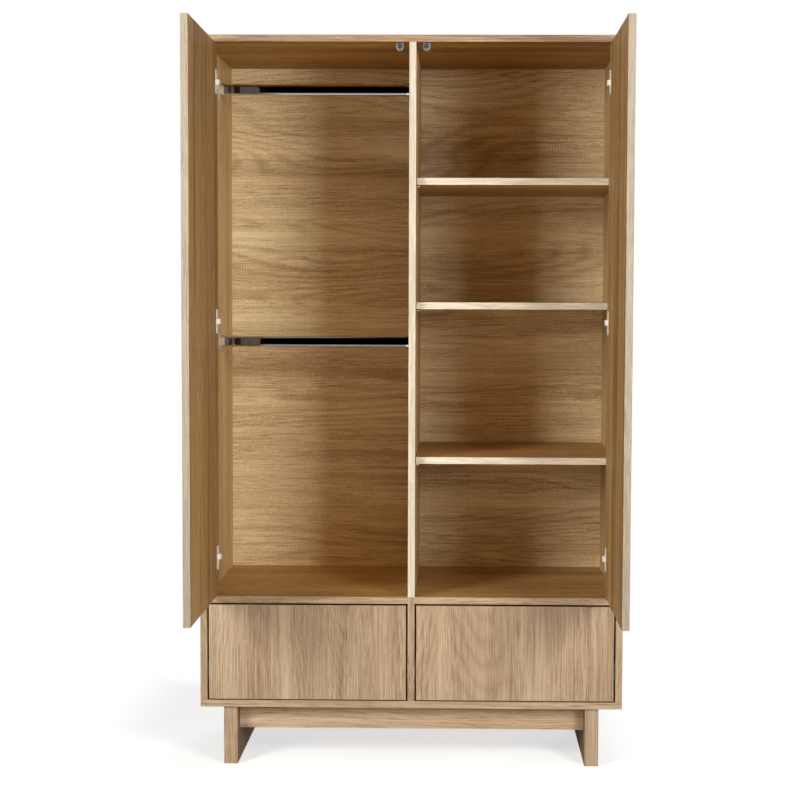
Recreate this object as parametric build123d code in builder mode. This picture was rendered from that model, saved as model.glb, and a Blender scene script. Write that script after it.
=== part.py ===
from build123d import *
from math import hypot
import os

# Two-door wardrobe: hanging bay on the left, shelf bay on the right, two drawers below.
# Millimetres. The front faces -Y and +Z is up. The origin is on the floor, in the middle of the
# space that the wardrobe takes with both doors open at a right angle, which is how it is modelled.

# Carcass
WIDTH = 1100
HEIGHT = 1890
DEPTH = 575
BOARD = 18
FIXED_SHELF_TOP = 445
EDGE_RADIUS = 0.8

# Back panels, held in grooves
BACK_THICKNESS = 4
BACK_INSET = 7
GROOVE_DEPTH = 6
GROOVE_CLEARANCE = 0.2

# Base
LEG_HEIGHT = 153
LEG_THICKNESS = 36
LEG_INSET = 60
LEG_SETBACK = 10
BASE_RAIL_HEIGHT = 68
BASE_RAIL_THICKNESS = 18
BASE_RAIL_SETBACK = 60

# Loose shelves of the right bay, by how far their upper face is above the fixed shelf
SHELF_RISES = {"lower": 363, "middle": 765, "upper": 1085}
SHELF_SETBACK = 30
SHELF_END_GAP = 1
SHELF_BACK_GAP = 2
PIN_DIAMETER = 6
PIN_DEPTH = 9
PIN_STANDOUT = 9
PIN_FROM_FRONT = 20
PIN_FROM_BACK = 42

# Hanging rails of the left bay: the lower one by its rise over the fixed shelf, the upper one by its
# drop under the top panel
LOWER_RAIL_RISE = 656
UPPER_RAIL_DROP = 91
RAIL_TALL = 30
RAIL_DEEP = 15
RAIL_WALL = 1.2
BRACKET_FLANGE = 2.5
BRACKET_COLLAR = 12
BRACKET_WALL = 2.2
BRACKET_EAR = 13
SOCKET_CLEARANCE = 0.2

# Doors
DOOR_THICKNESS = 18
DOOR_GAP = 3
HINGE_FROM_END = 98

# Concealed hinges: the pivot is given from the door's hinge edge and from its outer face
PIVOT_SETBACK = 16
PIVOT_INSET = 8.4
HINGE_PIN_RADIUS = 1.2
HINGE_PIN_CLEARANCE = 0.05
HINGE_PIN_GRIP = 4.5
EYE_RADIUS = 2.3
ARM_THICKNESS = 2.6
ARM_HEIGHT = 13.6
ARM_BEND = 2.5
NECK_KINK = 4
ARM_SIDE_CLEARANCE = 0.7
NECK_CLEARANCE = 1.5
CUP_RADIUS = 17.5
CUP_EDGE = 5
CUP_DEPTH = 12.8
CUP_FLOOR = 0.5
CUP_RIM = 3
CUP_CLEARANCE = 0.1
FLANGE_TALL = 62
FLANGE_WIDE = 34
FLANGE_THICKNESS = 1.3
FLANGE_CORNER = 6
FLANGE_SCREW_SPACING = 48
PLATE_THICKNESS = 6.5
PLATE_START = 46
PLATE_LENGTH = 52
PLATE_TALL = 16
WING_THICKNESS = 3
WING_LENGTH = 20
WING_TALL = 54
WING_SCREW_SPACING = 38
PLATE_CORNER = 1.5
ARM_CORNER = 4
ARM_SCREW_FROM_END = 14
ARM_SCREW_LENGTH = 7

# Push latches under the top panel
LATCH_FROM_DIVIDER = 25
LATCH_WIDE = 20
LATCH_TALL = 17
LATCH_START = 24
LATCH_WALL = 6
LATCH_CORNER = 8
LATCH_TAB = 14
LATCH_TAB_THICKNESS = 3
PLUNGER_RADIUS = 6
PLUNGER_CLEARANCE = 0.3
PLUNGER_LENGTH = 40
PLUNGER_NOSE = 1
PLUNGER_OPEN_TIP = 8
PLUNGER_TIP_GAP = 0.5
STRIKE_WIDE = 14
STRIKE_TALL = 9
STRIKE_THICKNESS = 1.2

# Drawers, with a wider joint round the front than under it
DRAWER_GAP = 4.5
DRAWER_FOOT_GAP = 3
DRAWER_FRONT_THICKNESS = 18
DRAWER_SIDE = 15
DRAWER_BOX_TALL = 170
DRAWER_BOX_RISE = 14
DRAWER_BACK_GAP = 46
DRAWER_BOTTOM = 4
DRAWER_BOTTOM_RISE = 12
DRAWER_GROOVE = 6

# Three-part drawer runners, nested C channels
RUNNER_THICKNESS = 12.7
RUNNER_TALL = 45
RUNNER_END_GAP = 44
RUNNER_START = 24
RUNNER_RISE = 60
RUNNER_GAUGE = 1.2
RUNNER_CLEARANCE = 0.35
SLIDE_WEB = 5
RUNNER_SCREW_LENGTH = 8
RUNNER_SCREW_FROM_END = 40

# Push catches behind the drawers, screwed to the side panels
CATCH_WIDE = 28
CATCH_TALL = 18
CATCH_NOSE_RADIUS = 5
CATCH_NOSE = 4
CATCH_GAP = 3.5
CATCH_BACK_GAP = 2
CATCH_EAR = 11
CATCH_EAR_THICKNESS = 3

# Wooden dowels and screws
DOWEL_RADIUS = 4
DOWEL_IN_FACE = 12
DOWEL_IN_END = 22
DOWEL_SPARE = 0.5
DOWEL_FROM_EDGE = 60
RAIL_DOWEL_SPACING = 36
DRAWER_DOWEL_SPACING = 96
DRAWER_DOWEL_IN_FACE = 10
FIT = 0.05
SCREW_RADIUS = 1.7
SCREW_LENGTH = 12
SCREW_HEAD_RADIUS = 3.4
SCREW_HEAD = 1.6
CROSS_LONG = 3.8
CROSS_WIDE = 0.8
CROSS_DEPTH = 0.9
LEG_SCREW_RADIUS = 2.5
LEG_SCREW_LENGTH = 60
LEG_SCREW_HEAD_RADIUS = 5
LEG_SCREW_HEAD = 3

# Places worked out from the sizes above
SIDE_FACE = WIDTH / 2 - BOARD
DIVIDER_FACE = BOARD / 2
BAY = SIDE_FACE - DIVIDER_FACE
INNER_DEPTH = DEPTH - BACK_INSET - BACK_THICKNESS
CEILING = HEIGHT - BOARD
FLOOR = LEG_HEIGHT + BOARD
DRAWER_CEILING = FIXED_SHELF_TOP - BOARD
DOOR_WIDTH = BAY - 2 * DOOR_GAP
DOOR_LOW = FIXED_SHELF_TOP + DOOR_GAP
DOOR_HIGH = CEILING - DOOR_GAP
PIVOT_IN = DOOR_GAP + PIVOT_SETBACK
OPEN_IN = PIVOT_IN - PIVOT_INSET
OPEN_BACK = PIVOT_SETBACK + PIVOT_INSET
PLATE_END = PLATE_START + PLATE_LENGTH
FRONT = (DOOR_WIDTH - OPEN_BACK - DEPTH) / 2
SHELF_TOPS = {name: FIXED_SHELF_TOP + rise for name, rise in SHELF_RISES.items()}
RAIL_HEIGHTS = {"lower": FIXED_SHELF_TOP + LOWER_RAIL_RISE, "upper": CEILING - UPPER_RAIL_DROP}
HINGE_HEIGHTS = (DOOR_LOW + HINGE_FROM_END, (DOOR_LOW + DOOR_HIGH) / 2, DOOR_HIGH - HINGE_FROM_END)
SIDES = {"left": -1, "right": 1}
ALONG_X = Rotation(0, 90, 0)
ALONG_Y = Rotation(90, 0, 0)
ALONG_Z = Rotation(0, 0, 0)
DOWN = (0, 0, -1)

os.makedirs("parts", exist_ok=True)


def inward(side, distance):
    """X of a point that lies this far in from a side panel's inner face."""
    return side * (SIDE_FACE - distance)


def behind(distance):
    """Y of a point that lies this far behind the carcass front."""
    return FRONT + distance


def on_door(side, along, through):
    """X and Y of a point of the open door, from its hinge edge and from its outer face."""
    return inward(side, OPEN_IN + through), behind(OPEN_BACK - along)


def save(builder, node):
    """Label a finished piece and write it to its own file."""
    builder.part.label = node
    export_step(builder.part, f"parts/{node}.step")


def block(low, high, mode=Mode.ADD):
    """Box between two opposite corners."""
    with Locations(tuple((a + b) / 2 for a, b in zip(low, high))):
        Box(*(abs(b - a) for a, b in zip(low, high)), mode=mode)


def rods(points, radius, length, turn=ALONG_Z, mode=Mode.ADD):
    """Equal cylinders centred on the points."""
    with Locations(*points):
        Cylinder(radius, length, rotation=turn, mode=mode)


def away(points, out, distance):
    """The points, moved this far along a unit vector."""
    return [tuple(c + o * distance for c, o in zip(point, out)) for point in points]


def cross_recesses(points, turn):
    """Cross-shaped driver recesses cut into screw heads."""
    with Locations(*points):
        Box(CROSS_LONG, CROSS_WIDE, 2 * CROSS_DEPTH, rotation=turn, mode=Mode.SUBTRACT)
        Box(CROSS_WIDE, CROSS_LONG, 2 * CROSS_DEPTH, rotation=turn, mode=Mode.SUBTRACT)


def wood_screws(points, out, seat, length=SCREW_LENGTH):
    """Screws that go into the points, with their heads turned out this way and seated this far out."""
    turn = ALONG_Z if out == DOWN else ALONG_X
    rods(away(points, out, seat - length / 2), SCREW_RADIUS, length, turn)
    rods(away(points, out, seat + SCREW_HEAD / 2), SCREW_HEAD_RADIUS, SCREW_HEAD, turn)
    cross_recesses(away(points, out, seat + SCREW_HEAD), turn)


def screw_holes(points, depth, turn=ALONG_X):
    """Holes for wood screws, as deep as this on both sides of the points."""
    rods(points, SCREW_RADIUS + FIT, 2 * depth, turn, Mode.SUBTRACT)


def soften(builder):
    """Round every edge of a plain board a little, as edge banding leaves it."""
    fillet(builder.edges(), EDGE_RADIUS)


def dowel_holes(points, turn, length):
    """Holes for dowels of this length, a little longer than the dowels."""
    rods(points, DOWEL_RADIUS + FIT, length + 2 * DOWEL_SPARE, turn, Mode.SUBTRACT)


# Where the dowels sit
DOWEL_LENGTH = DOWEL_IN_FACE + DOWEL_IN_END
DOWEL_SHIFT = (DOWEL_IN_END - DOWEL_IN_FACE) / 2
DIVIDER_DOWEL_LENGTH = BOARD + 2 * DOWEL_IN_END
DOWEL_ROWS = [behind(d) for d in (DOWEL_FROM_EDGE, INNER_DEPTH / 2, INNER_DEPTH - DOWEL_FROM_EDGE)]
SHELF_DOWEL_HEIGHT = FIXED_SHELF_TOP - BOARD / 2


def upright_dowels(x):
    """Dowels that join an upright board at x to the top panel and to the bottom panel."""
    heights = (FLOOR + DOWEL_SHIFT, CEILING - DOWEL_SHIFT)
    return [(x, y, z) for y in DOWEL_ROWS for z in heights]


def fixed_shelf_dowels(side):
    """Dowels that join a fixed shelf to its side panel."""
    return [(inward(side, DOWEL_SHIFT), y, SHELF_DOWEL_HEIGHT) for y in DOWEL_ROWS]


DIVIDER_DOWELS = [(0, y, SHELF_DOWEL_HEIGHT) for y in DOWEL_ROWS]
SIDE_CENTRE = SIDE_FACE + BOARD / 2
UPRIGHTS = (-SIDE_CENTRE, 0, SIDE_CENTRE)

# Back panel grooves
GROOVE_FRONT = behind(INNER_DEPTH)
GROOVE_BACK = GROOVE_FRONT + BACK_THICKNESS + GROOVE_CLEARANCE

# Base layout
LEG_OUTER = WIDTH / 2 - LEG_INSET
LEG_INNER = LEG_OUTER - LEG_THICKNESS
LEG_CENTRE = (LEG_OUTER + LEG_INNER) / 2
LEG_SCREWS = [(x, y, FLOOR) for x in (-LEG_CENTRE, LEG_CENTRE) for y in DOWEL_ROWS]
BASE_RAIL_FRONTS = {
    "front": behind(BASE_RAIL_SETBACK),
    "rear": behind(DEPTH - BASE_RAIL_SETBACK - BASE_RAIL_THICKNESS),
}
BASE_RAIL_MIDDLE = LEG_HEIGHT - BASE_RAIL_HEIGHT / 2


def base_rail_dowels(side):
    """Dowels that join the ends of both base rails to one leg."""
    x = side * (LEG_INNER - DOWEL_SHIFT)
    rows = [y + BASE_RAIL_THICKNESS / 2 for y in BASE_RAIL_FRONTS.values()]
    heights = (BASE_RAIL_MIDDLE - RAIL_DOWEL_SPACING / 2, BASE_RAIL_MIDDLE + RAIL_DOWEL_SPACING / 2)
    return [(x, y, z) for y in rows for z in heights]


# Shelf pins: rows at the front and back of each loose shelf, in the divider and the right side panel
PIN_LENGTH = PIN_DEPTH + PIN_STANDOUT
PIN_ROWS = (behind(SHELF_SETBACK + PIN_FROM_FRONT), behind(INNER_DEPTH - PIN_FROM_BACK))
PIN_HEIGHTS = [top - BOARD - PIN_DIAMETER / 2 for top in SHELF_TOPS.values()]
PIN_SHIFT = (PIN_STANDOUT - PIN_DEPTH) / 2
PIN_CENTRES = {
    "divider": [(DIVIDER_FACE + PIN_SHIFT, y, z) for y in PIN_ROWS for z in PIN_HEIGHTS],
    "right": [(SIDE_FACE - PIN_SHIFT, y, z) for y in PIN_ROWS for z in PIN_HEIGHTS],
}

# Rail brackets: a wall and the way that it faces
BRACKET_WALLS = ((-SIDE_FACE, 1), (-DIVIDER_FACE, -1))
BRACKET_OUT = RAIL_TALL / 2 + BRACKET_WALL
BRACKET_SCREW_OUT = BRACKET_OUT + BRACKET_EAR / 2
RAIL_Y = behind(INNER_DEPTH / 2)


def bracket_screws(wall):
    """Places on one wall where the screws of its two rail brackets go in."""
    offsets = (-BRACKET_SCREW_OUT, BRACKET_SCREW_OUT)
    return [(wall, RAIL_Y, z + out) for z in RAIL_HEIGHTS.values() for out in offsets]


def plate_screws(side):
    """Places on a side panel where the screws of its three hinge plates go in."""
    y = behind((PLATE_START + PLATE_END) / 2)
    offsets = (-WING_SCREW_SPACING / 2, WING_SCREW_SPACING / 2)
    return [(inward(side, 0), y, z + out) for z in HINGE_HEIGHTS for out in offsets]


SCREW_IN_BOARD = SCREW_LENGTH - WING_THICKNESS
BRACKET_SCREW_IN_BOARD = SCREW_LENGTH - BRACKET_FLANGE

# Latch layout
LATCH_HEIGHT = CEILING - LATCH_TALL / 2
LATCH_IN = BAY - LATCH_FROM_DIVIDER
PLUNGER_CLOSED_TIP = DOOR_THICKNESS + STRIKE_THICKNESS + PLUNGER_TIP_GAP
PLUNGER_BACK = PLUNGER_CLOSED_TIP + PLUNGER_LENGTH
LATCH_LENGTH = PLUNGER_BACK + PLUNGER_TIP_GAP + LATCH_WALL - LATCH_START
LATCH_END = LATCH_START + LATCH_LENGTH
LATCH_SCREWS = [
    (inward(side, LATCH_IN), behind(LATCH_END + LATCH_TAB / 2), CEILING) for side in SIDES.values()
]

# Drawer layout: the box hangs between its runners, behind a front that fills the opening
BOX_HALF = BAY / 2 - RUNNER_THICKNESS
BOX_INNER = BOX_HALF - DRAWER_SIDE
BOX_LOW = FLOOR + DRAWER_FOOT_GAP + DRAWER_BOX_RISE
BOX_HIGH = BOX_LOW + DRAWER_BOX_TALL
BOX_FRONT = DRAWER_FRONT_THICKNESS
BOX_BACK = INNER_DEPTH - DRAWER_BACK_GAP
BOTTOM_LOW = BOX_LOW + DRAWER_BOTTOM_RISE
BOTTOM_HIGH = BOTTOM_LOW + DRAWER_BOTTOM
DRAWER_DOWEL_SHIFT = (DOWEL_IN_END - DRAWER_DOWEL_IN_FACE) / 2
DRAWER_DOWEL_LENGTH = DOWEL_IN_END + DRAWER_DOWEL_IN_FACE
BOX_MIDDLE = (BOX_LOW + BOX_HIGH) / 2
DRAWER_DOWEL_HEIGHTS = (BOX_MIDDLE - DRAWER_DOWEL_SPACING / 2, BOX_MIDDLE + DRAWER_DOWEL_SPACING / 2)
RUNNER_HEIGHT = BOX_LOW + RUNNER_RISE
RUNNER_STEP = RUNNER_GAUGE + RUNNER_CLEARANCE
RUNNER_LIP = RUNNER_THICKNESS - 2 * RUNNER_GAUGE
RUNNER_END = BOX_BACK - RUNNER_END_GAP
RUNNER_SCREW_ROWS = [
    behind(d) for d in (RUNNER_START + RUNNER_SCREW_FROM_END, RUNNER_END - RUNNER_SCREW_FROM_END)
]
RUNNER_SCREW_IN_BOARD = RUNNER_SCREW_LENGTH - RUNNER_GAUGE
CATCH_FRONT = BOX_BACK + CATCH_GAP + CATCH_NOSE
CATCH_BACK = INNER_DEPTH - CATCH_BACK_GAP
CATCH_SCREW_OUT = (CATCH_TALL + CATCH_EAR) / 2


def bay_walls(side):
    """The two walls of one drawer's bay, each with the way that it faces."""
    return ((inward(side, 0), -side), (side * DIVIDER_FACE, side))


def runner_screws(wall):
    """Places on a wall, or on a drawer side, where the screws of its runner go in."""
    return [(wall, y, RUNNER_HEIGHT) for y in RUNNER_SCREW_ROWS]


def catch_screws(side):
    """Places on a side panel where the screws of its drawer's push catch go in."""
    y = behind((CATCH_FRONT + CATCH_BACK) / 2)
    return [(inward(side, 0), y, BOX_MIDDLE + out) for out in (-CATCH_SCREW_OUT, CATCH_SCREW_OUT)]


# Top and bottom panels
for node, low in (("top_panel", CEILING), ("bottom_panel", LEG_HEIGHT)):
    with BuildPart() as panel:
        block((-WIDTH / 2, behind(0), low), (WIDTH / 2, behind(DEPTH), low + BOARD))
        soften(panel)
        face, depth = (CEILING, GROOVE_DEPTH) if node == "top_panel" else (FLOOR, -GROOVE_DEPTH)
        for side in SIDES.values():
            block(
                (inward(side, -GROOVE_DEPTH), GROOVE_FRONT, face),
                (side * (DIVIDER_FACE - GROOVE_DEPTH), GROOVE_BACK, face + depth),
                Mode.SUBTRACT,
            )
        for x in UPRIGHTS:
            dowel_holes(upright_dowels(x), ALONG_Z, DOWEL_LENGTH)
        if node == "bottom_panel":
            rods(LEG_SCREWS, LEG_SCREW_RADIUS + FIT, 4 * BOARD, ALONG_Z, Mode.SUBTRACT)
            rods(LEG_SCREWS, LEG_SCREW_HEAD_RADIUS + FIT, 2 * LEG_SCREW_HEAD, ALONG_Z, Mode.SUBTRACT)
        else:
            screw_holes(LATCH_SCREWS, SCREW_LENGTH - LATCH_TAB_THICKNESS, ALONG_Z)
    save(panel, node)

# Side panels
for name, side in SIDES.items():
    with BuildPart() as panel:
        block((inward(side, 0), behind(0), FLOOR), (inward(side, -BOARD), behind(DEPTH), CEILING))
        soften(panel)
        block(
            (inward(side, 0), GROOVE_FRONT, FLOOR),
            (inward(side, -GROOVE_DEPTH), GROOVE_BACK, CEILING),
            Mode.SUBTRACT,
        )
        dowel_holes(upright_dowels(side * SIDE_CENTRE), ALONG_Z, DOWEL_LENGTH)
        dowel_holes(fixed_shelf_dowels(side), ALONG_X, DOWEL_LENGTH)
        screw_holes(plate_screws(side), SCREW_IN_BOARD)
        screw_holes(catch_screws(side), SCREW_LENGTH - CATCH_EAR_THICKNESS)
        screw_holes(runner_screws(inward(side, 0)), RUNNER_SCREW_IN_BOARD)
        if name == "left":
            screw_holes(bracket_screws(-SIDE_FACE), BRACKET_SCREW_IN_BOARD)
        else:
            rods(PIN_CENTRES["right"], PIN_DIAMETER / 2 + FIT, PIN_LENGTH, ALONG_X, Mode.SUBTRACT)
    save(panel, f"{name}_side_panel")

# Centre divider, with a back groove on each face
with BuildPart() as divider:
    block((-DIVIDER_FACE, behind(0), FLOOR), (DIVIDER_FACE, behind(DEPTH), CEILING))
    soften(divider)
    for side in SIDES.values():
        block(
            (side * DIVIDER_FACE, GROOVE_FRONT, FLOOR),
            (side * (DIVIDER_FACE - GROOVE_DEPTH), GROOVE_BACK, CEILING),
            Mode.SUBTRACT,
        )
        screw_holes(runner_screws(side * DIVIDER_FACE), RUNNER_SCREW_IN_BOARD)
    dowel_holes(upright_dowels(0), ALONG_Z, DOWEL_LENGTH)
    dowel_holes(DIVIDER_DOWELS, ALONG_X, DIVIDER_DOWEL_LENGTH)
    screw_holes(bracket_screws(-DIVIDER_FACE), BRACKET_SCREW_IN_BOARD)
    rods(PIN_CENTRES["divider"], PIN_DIAMETER / 2 + FIT, PIN_LENGTH, ALONG_X, Mode.SUBTRACT)
save(divider, "centre_divider")

# Fixed shelves over the drawers, and back panels
for name, side in SIDES.items():
    with BuildPart() as fixed_shelf:
        block(
            (inward(side, 0), behind(0), DRAWER_CEILING),
            (side * DIVIDER_FACE, behind(INNER_DEPTH), FIXED_SHELF_TOP),
        )
        soften(fixed_shelf)
        dowel_holes(fixed_shelf_dowels(side), ALONG_X, DOWEL_LENGTH)
        dowel_holes(DIVIDER_DOWELS, ALONG_X, DIVIDER_DOWEL_LENGTH)
    save(fixed_shelf, f"{name}_fixed_shelf")

    with BuildPart() as back_panel:
        into_groove = GROOVE_DEPTH - GROOVE_CLEARANCE
        block(
            (inward(side, -into_groove), GROOVE_FRONT, FLOOR - into_groove),
            (side * (DIVIDER_FACE - into_groove), GROOVE_FRONT + BACK_THICKNESS, CEILING + into_groove),
        )
    save(back_panel, f"{name}_back_panel")

# Loose shelves on their pins
for name, top in SHELF_TOPS.items():
    with BuildPart() as shelf:
        block(
            (DIVIDER_FACE + SHELF_END_GAP, behind(SHELF_SETBACK), top - BOARD),
            (SIDE_FACE - SHELF_END_GAP, behind(INNER_DEPTH - SHELF_BACK_GAP), top),
        )
        soften(shelf)
    save(shelf, f"{name}_shelf")

with BuildPart() as shelf_pins:
    for points in PIN_CENTRES.values():
        rods(points, PIN_DIAMETER / 2, PIN_LENGTH, ALONG_X)
save(shelf_pins, "shelf_pins")

# Hanging rails and their brackets
for name, height in RAIL_HEIGHTS.items():
    with BuildPart() as hanging_rail:
        with BuildSketch(Plane.YZ.offset(-SIDE_FACE + BRACKET_FLANGE + SOCKET_CLEARANCE)):
            with Locations((RAIL_Y, height)):
                SlotOverall(RAIL_TALL, RAIL_DEEP, rotation=90)
                SlotOverall(
                    RAIL_TALL - 2 * RAIL_WALL,
                    RAIL_DEEP - 2 * RAIL_WALL,
                    rotation=90,
                    mode=Mode.SUBTRACT,
                )
        extrude(amount=BAY - 2 * (BRACKET_FLANGE + SOCKET_CLEARANCE))
    save(hanging_rail, f"{name}_hanging_rail")

with BuildPart() as rail_brackets:
    for wall, facing in BRACKET_WALLS:
        for height in RAIL_HEIGHTS.values():
            with BuildSketch(Plane.YZ.offset(wall)):
                with Locations((RAIL_Y, height)):
                    SlotOverall(2 * (BRACKET_OUT + BRACKET_EAR), RAIL_DEEP + 2 * BRACKET_WALL, rotation=90)
                for out in (-BRACKET_SCREW_OUT, BRACKET_SCREW_OUT):
                    with Locations((RAIL_Y, height + out)):
                        Circle(SCREW_RADIUS + FIT, mode=Mode.SUBTRACT)
            extrude(amount=facing * BRACKET_FLANGE)
            with BuildSketch(Plane.YZ.offset(wall + facing * BRACKET_FLANGE)):
                with Locations((RAIL_Y, height)):
                    SlotOverall(2 * BRACKET_OUT, RAIL_DEEP + 2 * BRACKET_WALL, rotation=90)
                    SlotOverall(
                        RAIL_TALL + 2 * SOCKET_CLEARANCE,
                        RAIL_DEEP + 2 * SOCKET_CLEARANCE,
                        rotation=90,
                        mode=Mode.SUBTRACT,
                    )
            extrude(amount=facing * BRACKET_COLLAR)
save(rail_brackets, "rail_brackets")

# Base: legs, rails and the screws that hold the legs
for name, side in SIDES.items():
    with BuildPart() as leg:
        block(
            (side * LEG_OUTER, behind(LEG_SETBACK), 0),
            (side * LEG_INNER, behind(DEPTH - LEG_SETBACK), LEG_HEIGHT),
        )
        soften(leg)
        dowel_holes(base_rail_dowels(side), ALONG_X, DOWEL_LENGTH)
        rods(LEG_SCREWS, LEG_SCREW_RADIUS + FIT, 2 * LEG_SCREW_LENGTH, ALONG_Z, Mode.SUBTRACT)
    save(leg, f"{name}_leg")

for name, front in BASE_RAIL_FRONTS.items():
    with BuildPart() as base_rail:
        block(
            (-LEG_INNER, front, LEG_HEIGHT - BASE_RAIL_HEIGHT),
            (LEG_INNER, front + BASE_RAIL_THICKNESS, LEG_HEIGHT),
        )
        soften(base_rail)
        for side in SIDES.values():
            dowel_holes(base_rail_dowels(side), ALONG_X, DOWEL_LENGTH)
    save(base_rail, f"{name}_base_rail")

with BuildPart() as leg_screws:
    rods([(x, y, z - LEG_SCREW_LENGTH / 2) for x, y, z in LEG_SCREWS], LEG_SCREW_RADIUS, LEG_SCREW_LENGTH)
    rods([(x, y, z - LEG_SCREW_HEAD / 2) for x, y, z in LEG_SCREWS], LEG_SCREW_HEAD_RADIUS, LEG_SCREW_HEAD)
    cross_recesses(LEG_SCREWS, ALONG_Z)
save(leg_screws, "leg_screws")

with BuildPart() as carcass_dowels:
    for x in UPRIGHTS:
        rods(upright_dowels(x), DOWEL_RADIUS, DOWEL_LENGTH)
    for side in SIDES.values():
        rods(fixed_shelf_dowels(side) + base_rail_dowels(side), DOWEL_RADIUS, DOWEL_LENGTH, ALONG_X)
    rods(DIVIDER_DOWELS, DOWEL_RADIUS, DIVIDER_DOWEL_LENGTH, ALONG_X)
save(carcass_dowels, "carcass_dowels")

# Hinge layout, seen from above
CUP_MIDDLE = CUP_EDGE + CUP_RADIUS
CUP_BOTTOM = DOOR_THICKNESS - CUP_DEPTH
FLANGE_FACE = DOOR_THICKNESS + FLANGE_THICKNESS
POCKET_START = CUP_EDGE + CUP_RIM
POCKET_END = CUP_EDGE + 2 * CUP_RADIUS - CUP_RIM
POCKET_TALL = ARM_HEIGHT + 2 * ARM_SIDE_CLEARANCE
HINGE_PIN_LENGTH = POCKET_TALL + 2 * HINGE_PIN_GRIP
CORNER_SWING = hypot(PIVOT_SETBACK, DOOR_THICKNESS - PIVOT_INSET)
NECK_BACK = CORNER_SWING + NECK_CLEARANCE + ARM_THICKNESS / 2
NECK_OUT = FLANGE_FACE - PIVOT_INSET + 2 * NECK_CLEARANCE + ARM_THICKNESS / 2
ARM_SEAT = PLATE_THICKNESS + ARM_THICKNESS / 2
ARM_FACE = PLATE_THICKNESS + ARM_THICKNESS
FLANGE_SCREW_OFFSETS = (-FLANGE_SCREW_SPACING / 2, FLANGE_SCREW_SPACING / 2)
FLANGE_SCREWS = [(CUP_MIDDLE, z + out) for z in HINGE_HEIGHTS for out in FLANGE_SCREW_OFFSETS]


def arm_path(side):
    """Centre line of a goose-neck arm, from its pivot round the door's edge to the mounting plate."""
    neck_in = PIVOT_IN + NECK_OUT
    neck_back = PIVOT_INSET + NECK_BACK
    points = (
        (PIVOT_IN, PIVOT_INSET),
        (neck_in - NECK_KINK, PIVOT_INSET + NECK_KINK),
        (neck_in, PIVOT_INSET + 2 * NECK_KINK),
        (neck_in, neck_back),
        (ARM_SEAT, neck_back),
        (ARM_SEAT, PLATE_END),
    )
    return [(inward(side, across), behind(back)) for across, back in points]


ARM_SCREWS = {
    side: [
        (inward(side, ARM_FACE), behind(PLATE_END - ARM_SCREW_FROM_END), z) for z in HINGE_HEIGHTS
    ]
    for side in SIDES.values()
}

# Goose-neck arms and the plates that hold them to the side panels
with BuildPart() as hinge_arms:
    for side in SIDES.values():
        for height in HINGE_HEIGHTS:
            with BuildSketch(Plane.XY.offset(height - ARM_HEIGHT / 2)):
                with BuildLine():
                    FilletPolyline(*arm_path(side), radius=ARM_BEND)
                trace(line_width=ARM_THICKNESS)
                with Locations(arm_path(side)[0]):
                    Circle(EYE_RADIUS)
                    Circle(HINGE_PIN_RADIUS + HINGE_PIN_CLEARANCE, mode=Mode.SUBTRACT)
            extrude(amount=ARM_HEIGHT)
        screw_holes(ARM_SCREWS[side], ARM_SCREW_LENGTH)
    fillet(hinge_arms.edges().filter_by(Axis.X).group_by(Axis.Y)[-1], ARM_CORNER)
save(hinge_arms, "hinge_arms")

with BuildPart() as hinge_plates:
    middle = (PLATE_START + PLATE_END) / 2
    for side in SIDES.values():
        for height in HINGE_HEIGHTS:
            block(
                (inward(side, 0), behind(PLATE_START), height - PLATE_TALL / 2),
                (inward(side, PLATE_THICKNESS), behind(PLATE_END), height + PLATE_TALL / 2),
            )
            block(
                (inward(side, 0), behind(middle - WING_LENGTH / 2), height - WING_TALL / 2),
                (inward(side, WING_THICKNESS), behind(middle + WING_LENGTH / 2), height + WING_TALL / 2),
            )
    fillet(hinge_plates.edges().filter_by(Axis.X), PLATE_CORNER)
    for side in SIDES.values():
        screw_holes(plate_screws(side), PLATE_THICKNESS)
        screw_holes(ARM_SCREWS[side], ARM_SCREW_LENGTH)
save(hinge_plates, "hinge_plates")

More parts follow.
